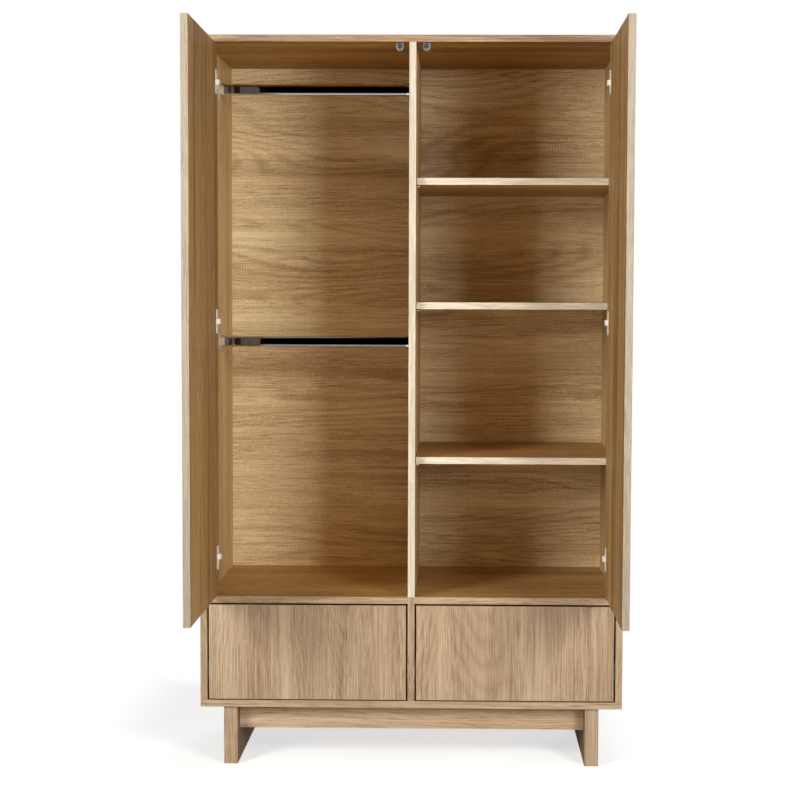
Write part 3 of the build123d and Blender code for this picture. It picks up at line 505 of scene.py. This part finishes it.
def decor_place(graph, along, across, through, on_end, seed):
    """A board's place on the decor, moved by its seed and bent. The grain runs along the end edges too."""
    flat_place = graph.vector(along, across, through)
    end_place = graph.vector(across, through, along)
    place = graph.mix(on_end, flat_place, end_place, "VECTOR")
    place = graph.sum(place, tuple(seed * step for step in SEED_STEP))
    bend = graph.noise(place, BEND_WAVES, detail=1.0)
    return graph.sum(place, graph.vector(0.0, bend.swing(BEND_REACH), 0.0))


def saw_marks(graph, place, look):
    """Rows of ticks across the grain, in patches, from 0 to 1."""
    parts = graph.split(place)
    along = parts.out("X")
    rows = parts.out("Y") / look.saw_height
    row = rows.floor()
    patch = graph.noise(graph.vector(along, row, 0.0), SAW_PATCHES, detail=1.0)
    jitter = graph.noise(place, SAW_WOBBLE)
    ticks = (along * (2 * pi / look.saw_pitch) + patch * SAW_DRIFT + jitter * SAW_JITTER).wave()
    row_middle = 1 - abs((rows - row) * 2.0 - 1.0)
    return ticks * graph.step(patch, *SAW_PATCHES_BEGIN) * graph.step(row_middle, *SAW_ROWS_BEGIN)


def oak_layers(graph, place, look, figure):
    """The decor's tone, from dark, 0, to pale, 1, and the bands, the pores and the dashes in it."""
    bands = graph.grain(place, "bands", look.band_width, detail=1.0)
    stripes = graph.grain(place, "stripes", look.stripe_width, detail=1.0)
    streaks = graph.grain(place, "streaks", look.streak_width, detail=1.0)
    lines = graph.grain(place, "lines", look.line_width, detail=1.0)
    pores = graph.grain(place, "pores", look.pore_width)
    crowds = graph.step(graph.grain(place, "crowds", look.stripe_width * 2), *CROWDS_BEGIN)
    dashes = graph.step(graph.grain(place, "dashes", look.dash_width), *DASHES_BEGIN)
    dashes = dashes * (LONE_DASHES + crowds * (1 - LONE_DASHES))
    cathedrals = graph.grain(place, "figure", look.figure_width, detail=0.4)
    rings = (cathedrals * (2 * pi * figure.rings)).wave()
    late_wood = rings * rings * graph.step(graph.grain(place, "late_wood", LATE_WOOD_WIDTH), *LATE_WOOD_BEGINS)
    tone = (
        FIRST_TONE + bands.swing(BAND_WEIGHT) + stripes.swing(STRIPE_WEIGHT) + pores.swing(PORE_WEIGHT)
        + streaks.swing(STREAK_WEIGHT) + lines.swing(figure.lines)
        - dashes * figure.dashes - late_wood * figure.late_wood
    )
    if figure is FIGURED:
        flecks = graph.grain(place, "flecks", look.line_width, detail=1.0)
        tone = tone + flecks.swing(figure.flecks) + saw_marks(graph, place, look) * figure.saw_marks
    return tone, bands, pores, dashes


def grain_shade(graph, tone, base, look):
    """The colour of the decor for a tone from dark, 0, to pale, 1."""
    shades = (matched(look.dark, base, look), base, matched(look.pale, base, look))
    return graph.ramp(tone, *zip(TONE_STOPS, shades))


def oak(name, grain, seed, main=None, figure=PLAIN, face=None, lipping=None):
    """Oak decor whose grain runs along a board, with its edges banded along their own length.

    The seed moves the board to another part of the decor. A figured board shows cathedrals and rows of pale saw
    marks across the grain. A face has a colour of its own, which paints the light and shade on it, and a contrast
    above 1 strengthens its grain and adds ribbons to it. A lipping covers the edges with a strip, partly painted
    sheen on the shelves and the divider, and painted shade on the doors and the drawer fronts.
    """
    look = settings().oak
    material, graph = new_material(name)
    texture = graph.node("ShaderNodeTexCoord")
    along, across, through = board_axes(graph, texture.out("Object"), grain)
    normal_along, normal_across, normal_through = board_axes(graph, texture.out("Normal"), grain)
    place = decor_place(graph, along, across, through, abs(normal_along) > FACING, seed)
    tone, bands, pores, dashes = oak_layers(graph, place, look, figure)

    shade = grain_shade(graph, tone, main or look.middle, look)
    if face:
        looks_out = normal_through * face.side if face.side else abs(normal_through)
        ribbons = graph.grain(place, "ribbons", look.ribbon_width, detail=1.0)
        ribbons = ribbons.swing((face.contrast - 1.0) * RIBBON_WEIGHT)
        face_tone = (tone - MIDDLE_TONE) * face.contrast + ribbons + MIDDLE_TONE
        shade = graph.mix(looks_out > FACING, shade, grain_shade(graph, face_tone, face.shade, look))
    if lipping:
        strip = 1 - (abs(normal_through) > FACING)
        if lipping.above is not None:
            height = graph.split(texture.out("Object")).out("Z")
            strip = strip * (height > lipping.above) * (normal_across < -FACING)
        shade = graph.mix(strip, shade, graph.mottle(tone, lipping.shade, LIPPING_TINTS, LIPPING_STOPS))
    graph.surface({
        "Base Color": shade,
        "Roughness": look.roughness + bands.swing(BAND_ROUGHNESS) + dashes * DASH_ROUGHNESS,
        "Specular IOR Level": look.shine,
        "Normal": graph.bump(pores * PORE_HEIGHT - dashes, look.relief),
    })
    return material


def plated_metal(name, shade, roughness, brushed_along="X", metallic=1.0, front=None):
    """Plated metal with fine brush lines and faint smudges, and a flat front in another colour, which paints a dark
    reflection there, if one is given.
    """
    material, graph = new_material(name)
    texture = graph.node("ShaderNodeTexCoord")
    place = texture.out("Object")
    brush_waves = tuple(BRUSH_ALONG if axis == brushed_along else BRUSH_ACROSS for axis in "XYZ")
    brush = graph.noise(place, brush_waves, detail=2.0)
    smudge = graph.noise(place, SMUDGES, detail=2.0)
    plating = graph.mottle(smudge, shade, PLATING_TINTS)
    # The flat front: a painted dark reflection in a darker colour
    if front:
        ahead = graph.split(texture.out("Normal")).out("Y") < -FACING_SQUARELY
        plating = graph.mix(ahead, plating, graph.mottle(smudge, front, PLATING_TINTS))
    unevenness = brush.swing(BRUSH_ROUGHNESS) + smudge.swing(SMUDGE_ROUGHNESS)
    graph.surface({
        "Base Color": plating,
        "Metallic": metallic,
        "Roughness": roughness + unevenness * roughness,
        "Normal": graph.bump(brush, FINE_RELIEF * roughness),
    })
    return material


def moulded_plastic(name, shade, roughness):
    """Moulded plastic with a fine spark-eroded texture."""
    material, graph = new_material(name)
    place = graph.node("ShaderNodeTexCoord").out("Object")
    speckle = graph.noise(place, SPECKLES, detail=1.0)
    cloud = graph.noise(place, CLOUDS, detail=1.0)
    graph.surface({
        "Base Color": graph.mottle(cloud, shade, PLASTIC_TINTS),
        "Roughness": roughness + speckle.swing(SPECKLE_ROUGHNESS),
        "Normal": graph.bump(speckle, FINE_RELIEF),
    })
    return material


def bare_beech(name, shade):
    """Bare beech with fine grain and short dark rays."""
    material, graph = new_material(name)
    place = graph.node("ShaderNodeTexCoord").out("Object")
    grain = graph.noise(place, BEECH_GRAIN, detail=3.0)
    rays = graph.step(graph.noise(place, BEECH_RAYS, detail=1.0), *BEECH_RAYS_BEGIN)
    graph.surface({
        "Base Color": graph.mottle(grain - rays * BEECH_RAY_WEIGHT, shade, BEECH_TINTS, BEECH_STOPS),
        "Roughness": BEECH_ROUGHNESS + grain.swing(BEECH_GRAIN_ROUGHNESS),
        "Normal": graph.bump(grain - rays, BEECH_RELIEF),
    })
    return material


class WARDROBE_OT_carcass_boards(bpy.types.Operator):
    """Oak decor on the top, the bottom, the sides, the divider and the shelves over the drawers, with painted
    light and shade on their inner faces
    """

    bl_idname = "wardrobe.carcass_boards"
    bl_label = "Carcass boards"

    def execute(self, context):
        look = settings().oak
        # The top panel's underside: painted shade in a darker colour
        dress(oak("oak_top", LEVEL, seed=1.0, face=Face(look.ceiling_shade, side=-1, contrast=1.6)), "top_panel")
        dress(oak("oak_bottom", LEVEL, seed=2.0), "bottom_panel")
        for number, side in enumerate(SIDES):
            # The sides' inner faces: painted light and shade of the inner walls
            wall = Face(look.wall, side=INWARD[side])
            dress(oak(f"oak_{side}_side", UPRIGHT_SIDE, seed=3.0 + number, face=wall), f"{side}_side_panel")
            # The shelves over the drawers: the rails' paler colour as painted light, and painted shade on their tops
            shelf = oak(
                f"oak_{side}_fixed_shelf", LEVEL, seed=31.0 + number * 4.6,
                main=look.rail, face=Face(look.level, side=1),
            )
            dress(shelf, f"{side}_fixed_shelf")
        # The divider's faces: painted light and shade. Its pale edge above the drawers: partly painted sheen
        strip = Lipping(tinted(look.lipping, DIVIDER_STRIP), above=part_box("left_fixed_shelf")[1].z)
        dress(oak("oak_divider", UPRIGHT_SIDE, seed=7.0, face=Face(look.wall), lipping=strip), "centre_divider")
        return {"FINISHED"}


class WARDROBE_OT_back_panels(bpy.types.Operator):
    """Oak decor with saw marks on the thin backs, grain across, and painted light on their inner faces"""

    bl_idname = "wardrobe.back_panels"
    bl_label = "Back panels"

    def execute(self, context):
        # The backs' inner faces: painted light and sheen in a paler colour
        inner = Face(settings().oak.back, side=-1, contrast=1.12)
        for number, side in enumerate(SIDES):
            decor = oak(f"oak_{side}_back", LEVEL_FRONT, seed=8.0 + number, figure=FIGURED, face=inner)
            dress(decor, f"{side}_back_panel")
        return {"FINISHED"}


class WARDROBE_OT_shelves(bpy.types.Operator):
    """Oak decor on the loose shelves: painted shade on their faces, and a pale lipping that is partly painted sheen
    """

    bl_idname = "wardrobe.shelves"
    bl_label = "Loose shelves"

    def execute(self, context):
        look = settings().oak
        # The shelves' faces: painted shade. Their pale lipping: partly painted sheen
        face, strip = Face(look.level), Lipping(look.lipping)
        for number, level in enumerate(("lower", "middle", "upper")):
            decor = oak(f"oak_{level}_shelf", LEVEL, seed=10.0 + number, face=face, lipping=strip)
            dress(decor, f"{level}_shelf")
        return {"FINISHED"}


class WARDROBE_OT_base(bpy.types.Operator):
    """Oak decor on the legs and the base rails: painted shade on the legs' inner faces, painted light on
    the rails
    """

    bl_idname = "wardrobe.base"
    bl_label = "Legs and base rails"

    def execute(self, context):
        look = settings().oak
        for number, side in enumerate(SIDES):
            # The legs' inner faces: painted shade in a darker colour
            inner = Face(look.leg_side_shade, side=INWARD[side])
            dress(oak(f"oak_{side}_leg", UPRIGHT_SIDE, seed=13.0 + number * 11.3, face=inner), f"{side}_leg")
        for number, place in enumerate(("front", "rear")):
            # The base rails' paler colour: painted light where the carcass shades them
            rail = oak(f"oak_{place}_base_rail", LEVEL_FRONT, seed=15.0 + number, main=look.rail)
            dress(rail, f"{place}_base_rail")
        return {"FINISHED"}


class WARDROBE_OT_doors(bpy.types.Operator):
    """Oak decor on the doors: painted shade on their inner faces and in their darker lipping"""

    bl_idname = "wardrobe.doors"
    bl_label = "Doors"

    def execute(self, context):
        look = settings().oak
        # The doors' lipping, darker than the pale one: painted shade on the doors' edges
        strip = Lipping(look.door_lipping_shade)
        for number, side in enumerate(SIDES):
            # The doors' inner faces: painted shade in a darker colour
            inner = Face(look.door, side=INWARD[side], contrast=1.9)
            decor = oak(f"oak_{side}_door", UPRIGHT_SIDE, seed=17.0 + number, face=inner, lipping=strip)
            dress(decor, f"{side}_door_panel")
        return {"FINISHED"}


class WARDROBE_OT_drawers(bpy.types.Operator):
    """Oak decor on the drawer fronts, whose dark edges paint the shade in the gaps, and the plainer decor of the
    drawer boxes
    """

    bl_idname = "wardrobe.drawers"
    bl_label = "Drawers"

    def execute(self, context):
        look = settings().oak
        # The drawer fronts' dark edges: painted shade in the gaps round the drawers
        edges = Lipping(look.drawer_gap_shade)
        for number, side in enumerate(SIDES):
            decor = oak(f"oak_{side}_drawer_front", UPRIGHT_FRONT, seed=19.0 + number, lipping=edges)
            dress(decor, f"{side}_drawer_front")
        box_sides = oak("drawer_box_sides", LEVEL_SIDE, seed=21.0, main=look.box)
        box_backs = oak("drawer_box_backs", LEVEL_FRONT, seed=22.0, main=look.box)
        box_bottoms = oak("drawer_box_bottoms", LEVEL, seed=23.0, main=look.box)
        for side in SIDES:
            dress(box_sides, f"{side}_drawer_left_side", f"{side}_drawer_right_side")
            dress(box_backs, f"{side}_drawer_back")
            dress(box_bottoms, f"{side}_drawer_bottom")
        return {"FINISHED"}


class WARDROBE_OT_hanging_rails(bpy.types.Operator):
    """Polished chrome on the hanging rails and their brackets, with a painted dark reflection on the rails' fronts
    """

    bl_idname = "wardrobe.hanging_rails"
    bl_label = "Hanging rails"

    def execute(self, context):
        fittings = settings().fittings
        rail = plated_metal("rail_chrome", fittings.chrome, roughness=0.03, front=fittings.rail_front_dark_reflection)
        bracket = plated_metal("polished_chrome", fittings.chrome, roughness=0.03)
        dress(rail, "lower_hanging_rail", "upper_hanging_rail")
        dress(bracket, "rail_brackets")
        return {"FINISHED"}


class WARDROBE_OT_hinges(bpy.types.Operator):
    """Nickel plate on the hinges, and steel on their pins and screws"""

    bl_idname = "wardrobe.hinges"
    bl_label = "Hinges"

    def execute(self, context):
        fittings = settings().fittings
        nickel = plated_metal("hinge_nickel", fittings.hinge, roughness=0.50, brushed_along="Y", metallic=0.10)
        steel = plated_metal("hinge_pin_steel", fittings.screw, roughness=0.30, brushed_along="Z")
        dress(nickel, "hinge_arms", "hinge_plates")
        for side in SIDES:
            dress(nickel, f"{side}_hinge_cups")
            dress(steel, f"{side}_hinge_pins", f"{side}_hinge_cup_screws")
        return {"FINISHED"}


class WARDROBE_OT_latches(bpy.types.Operator):
    """Grey housings and plungers of the push latches and catches, and their strike plates"""

    bl_idname = "wardrobe.latches"
    bl_label = "Push latches"

    def execute(self, context):
        fittings = settings().fittings
        housing = moulded_plastic("latch_grey", fittings.housing, roughness=0.42)
        plunger = moulded_plastic("plunger_grey", fittings.plunger, roughness=0.50)
        strike = plated_metal("strike_nickel", fittings.nickel, roughness=0.28, brushed_along="Z")
        dress(housing, "drawer_push_catches")
        for side in SIDES:
            dress(housing, f"{side}_latch_housing")
            dress(plunger, f"{side}_latch_plunger")
            dress(strike, f"{side}_strike_plate")
        return {"FINISHED"}


class WARDROBE_OT_runners(bpy.types.Operator):
    """Zinc plate on the drawer runners"""

    bl_idname = "wardrobe.runners"
    bl_label = "Drawer runners"

    def execute(self, context):
        zinc = plated_metal("runner_zinc", settings().fittings.zinc, roughness=0.34, brushed_along="Y")
        for side in SIDES:
            for member in ("rails", "slides", "carriages"):
                dress(zinc, f"{side}_drawer_runner_{member}")
        return {"FINISHED"}


class WARDROBE_OT_fasteners(bpy.types.Operator):
    """Plated screws and shelf pins, and bare beech dowels"""

    bl_idname = "wardrobe.fasteners"
    bl_label = "Fasteners"

    def execute(self, context):
        fittings = settings().fittings
        steel = plated_metal("screw_steel", fittings.screw, roughness=0.32, brushed_along="Z")
        pins = plated_metal("pin_nickel", fittings.nickel, roughness=0.26)
        beech = bare_beech("dowel_beech", fittings.beech)
        dress(steel, "leg_screws", "fitting_screws")
        dress(pins, "shelf_pins")
        dress(beech, "carcass_dowels")
        for side in SIDES:
            dress(steel, f"{side}_drawer_screws")
            dress(beech, f"{side}_drawer_dowels")
        return {"FINISHED"}


def camera_turn(look):
    """The camera's rotation, from its yaw, pitch and roll."""
    yaw, pitch, roll = look.camera_yaw, look.camera_pitch, look.camera_roll
    ahead = Vector((-sin(yaw) * cos(pitch), cos(yaw) * cos(pitch), sin(pitch)))
    right = Vector((cos(yaw), sin(yaw), 0.0))
    up = right.cross(ahead)
    rolled_right = right * cos(roll) + up * sin(roll)
    rolled_up = up * cos(roll) - right * sin(roll)
    return Matrix((rolled_right, rolled_up, -ahead)).transposed()


def add_camera(look):
    data = bpy.data.cameras.new("photo_camera")
    data.sensor_width = FILM
    data.lens = LENS
    data.shift_x, data.shift_y = SHIFT
    camera = bpy.data.objects.new("photo_camera", data)
    camera.matrix_world = Matrix.Translation(look.camera_place) @ camera_turn(look).to_4x4()
    bpy.context.scene.collection.objects.link(camera)
    bpy.context.scene.camera = camera


def add_softbox(name, place, energy, aim, tint=WHITE[:3], in_mirrors=True):
    """A softbox that lights the scene and isn't seen itself, or only in mirrors."""
    data = bpy.data.lights.new(name, "AREA")
    data.shape = "RECTANGLE"
    data.size, data.size_y = SOFTBOX_SIZES[name]
    data.energy = energy
    data.color = tint
    lamp = bpy.data.objects.new(name, data)
    lamp.location = place
    lamp.rotation_euler = (Vector(aim) - Vector(place)).to_track_quat("-Z", "Y").to_euler()
    lamp.visible_camera = False
    lamp.visible_glossy = in_mirrors
    bpy.context.scene.collection.objects.link(lamp)


def add_lamps(look):
    """Softboxes on the left and on the right that face level, one overhead, one low in front and one behind."""
    for name, place, energy in (
        ("left_softbox", look.left_lamp, look.left_power),
        ("right_softbox", look.right_lamp, look.right_power),
    ):
        add_softbox(name, place, energy, (0.0, 0.0, place[2]), look.side_tint)
    for name, place, energy in (
        ("overhead_softbox", look.over_lamp, look.over_power),
        ("low_fill", look.fill_lamp, look.fill_power),
    ):
        add_softbox(name, place, energy, look.lamp_aim, look.fill_tint, in_mirrors=False)
    add_softbox("rear_softbox", look.rear_lamp, look.rear_power, look.lamp_aim)


def add_floor(look):
    """A round floor that shows the wardrobe's shadow and fades to the studio's white round it."""
    mesh = bpy.data.meshes.new("floor")
    shape = bmesh.new()
    bmesh.ops.create_circle(shape, cap_ends=True, segments=FLOOR_SEGMENTS, radius=look.floor_radius)
    shape.to_mesh(mesh)
    shape.free()
    floor = bpy.data.objects.new("floor", mesh)
    floor.location.z = -FLOOR_DROP
    bpy.context.scene.collection.objects.link(floor)

    material, graph = new_material("studio_floor")
    place = graph.split(graph.node("ShaderNodeTexCoord").out("Object"))
    aside = graph.step(abs(place.out("X") - SHADOW_MIDDLE[0]), *FADE_ASIDE)
    ahead = graph.step(abs(place.out("Y") - SHADOW_MIDDLE[1]), *FADE_AHEAD)
    open_floor = aside.most(ahead)
    rays = graph.node("ShaderNodeLightPath")
    matt = graph.node("ShaderNodeBsdfDiffuse", None, {"Color": rgba(look.floor)})
    glow = graph.node("ShaderNodeEmission", None, {"Color": WHITE, "Strength": look.floor_glow})
    white = graph.node("ShaderNodeEmission", None, {"Color": WHITE, "Strength": WHITE_STRENGTH})
    lit = graph.node("ShaderNodeAddShader", None, {0: matt, 1: glow})
    seen = graph.blend(open_floor, lit, white)
    mirrored = graph.blend(open_floor, matt, white)
    bounced = graph.blend(rays.out("Is Glossy Ray"), matt, mirrored)
    shown = graph.blend(rays.out("Is Camera Ray"), bounced, seen)
    graph.node("ShaderNodeOutputMaterial", None, {"Surface": shown})
    mesh.materials.append(material)


def add_world(look):
    """White to the camera, dim walls with a dark front wall to mirrors, and no light on anything else."""
    world = bpy.data.worlds.new("studio")
    bpy.context.scene.world = world
    graph = Graph(world)
    rays = graph.node("ShaderNodeLightPath")
    direction = graph.split(graph.node("ShaderNodeTexCoord").out("Generated"))
    aside = abs(direction.out("X") / direction.out("Y"))
    dark_wall = (direction.out("Y") < 0.0) * (1 - graph.step(aside, *DARK_WALL))
    white, walls, black = (
        graph.node("ShaderNodeBackground", None, {"Color": WHITE, "Strength": strength})
        for strength in (WHITE_STRENGTH, look.mirrored, 0.0)
    )
    mirrored = graph.blend(dark_wall, walls, black)
    bounced = graph.blend(rays.out("Is Glossy Ray"), black, mirrored)
    shown = graph.blend(rays.out("Is Camera Ray"), bounced, white)
    graph.node("ShaderNodeOutputWorld", None, {"Surface": shown})


class WARDROBE_OT_stage(bpy.types.Operator):
    """The camera, the softboxes, a white floor and a white studio"""

    bl_idname = "wardrobe.stage"
    bl_label = "Stage"

    def execute(self, context):
        look = settings().stage
        context.scene.view_settings.view_transform = "Standard"
        add_camera(look)
        add_lamps(look)
        add_floor(look)
        add_world(look)
        return {"FINISHED"}


STEPS = (
    WARDROBE_OT_carcass_boards,
    WARDROBE_OT_back_panels,
    WARDROBE_OT_shelves,
    WARDROBE_OT_base,
    WARDROBE_OT_doors,
    WARDROBE_OT_drawers,
    WARDROBE_OT_hanging_rails,
    WARDROBE_OT_hinges,
    WARDROBE_OT_latches,
    WARDROBE_OT_runners,
    WARDROBE_OT_fasteners,
    WARDROBE_OT_stage,
)


class WARDROBE_PT_sidebar(bpy.types.Panel):
    """The wardrobe's finishes, and what the user can change in them"""

    bl_idname = "WARDROBE_PT_sidebar"
    bl_label = "Wardrobe"
    bl_space_type = "VIEW_3D"
    bl_region_type = "UI"
    bl_category = "Wardrobe"

    def draw(self, context):
        chosen = context.scene.wardrobe
        for group in (chosen.oak, chosen.fittings, chosen.stage):
            box = self.layout.box()
            for name in group.__annotations__:
                box.prop(group, name)
        for step in STEPS:
            self.layout.operator(step.bl_idname)


CLASSES = (OakSettings, FittingSettings, StageSettings, WardrobeSettings, *STEPS, WARDROBE_PT_sidebar)


def register():
    for kind in CLASSES:
        bpy.utils.register_class(kind)
    bpy.types.Scene.wardrobe = PointerProperty(type=WardrobeSettings)


def unregister():
    del bpy.types.Scene.wardrobe
    for kind in reversed(CLASSES):
        bpy.utils.unregister_class(kind)


def main():
    register()
    for step in STEPS:
        group, name = step.bl_idname.split(".")
        getattr(getattr(bpy.ops, group), name)()
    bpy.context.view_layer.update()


if __name__ == "__main__":
    main()
